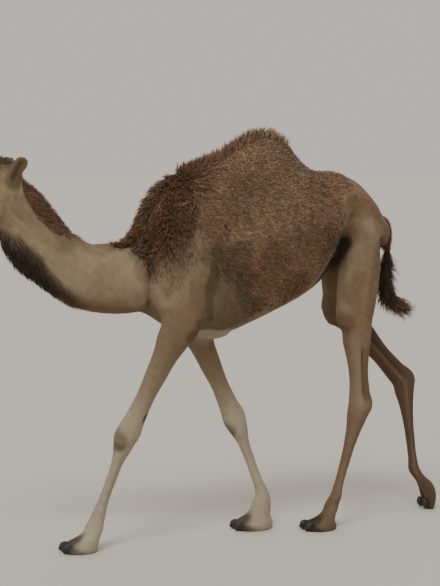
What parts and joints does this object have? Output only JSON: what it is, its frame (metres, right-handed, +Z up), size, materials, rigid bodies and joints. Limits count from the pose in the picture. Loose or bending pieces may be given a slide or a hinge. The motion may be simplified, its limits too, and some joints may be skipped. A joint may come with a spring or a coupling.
{
  "type": "dromedary camel model",
  "caption": "Life-size still model of a dromedary camel at a walk, one hump, long curved neck and tufted tail, standing on the flats of its feet",
  "frame": {"origin": "On the floor under the middle of the animal's overall box", "axes": "+Z up; the head points along -X and the tail along +X; the animal's left side faces -Y and its right side +Y"},
  "size_m": [2.6504, 0.5338, 1.8818],
  "materials": {
    "coat": "short flat tan-brown hair over skin",
    "wool": "curly brown fleece",
    "dark_hair": "long coarse dark brown hair",
    "pale_coat": "very short pale cream hair on the lower legs",
    "callus": "bare horny grey-brown skin",
    "eye": "wet dark brown eye",
    "nail": "dark horn"
  },
  "bodies": {
    "root": {"trunk": "coat", "hump": "wool", "chest_pad": "callus", "neck_upper": "coat", "neck_lower": "coat", "tail": "coat", "tail_tuft": "dark_hair", "head": "coat", "lower_jaw": "coat", "eye_left": "eye", "ear_left": "coat", "eye_right": "eye", "ear_right": "coat", "fore_left_shoulder": "coat", "fore_left_forearm": "coat", "fore_left_cannon": "pale_coat", "fore_left_foot": "pale_coat", "fore_left_nail_left": "nail", "fore_left_nail_right": "nail", "fore_right_shoulder": "coat", "fore_right_forearm": "coat", "fore_right_cannon": "pale_coat", "fore_right_foot": "pale_coat", "fore_right_nail_left": "nail", "fore_right_nail_right": "nail", "hind_left_thigh": "coat", "hind_left_gaskin": "coat", "hind_left_cannon": "pale_coat", "hind_left_foot": "pale_coat", "hind_left_nail_left": "nail", "hind_left_nail_right": "nail", "hind_right_thigh": "coat", "hind_right_gaskin": "coat", "hind_right_cannon": "pale_coat", "hind_right_foot": "pale_coat", "hind_right_nail_left": "nail", "hind_right_nail_right": "nail"}
  },
  "joints": []
}
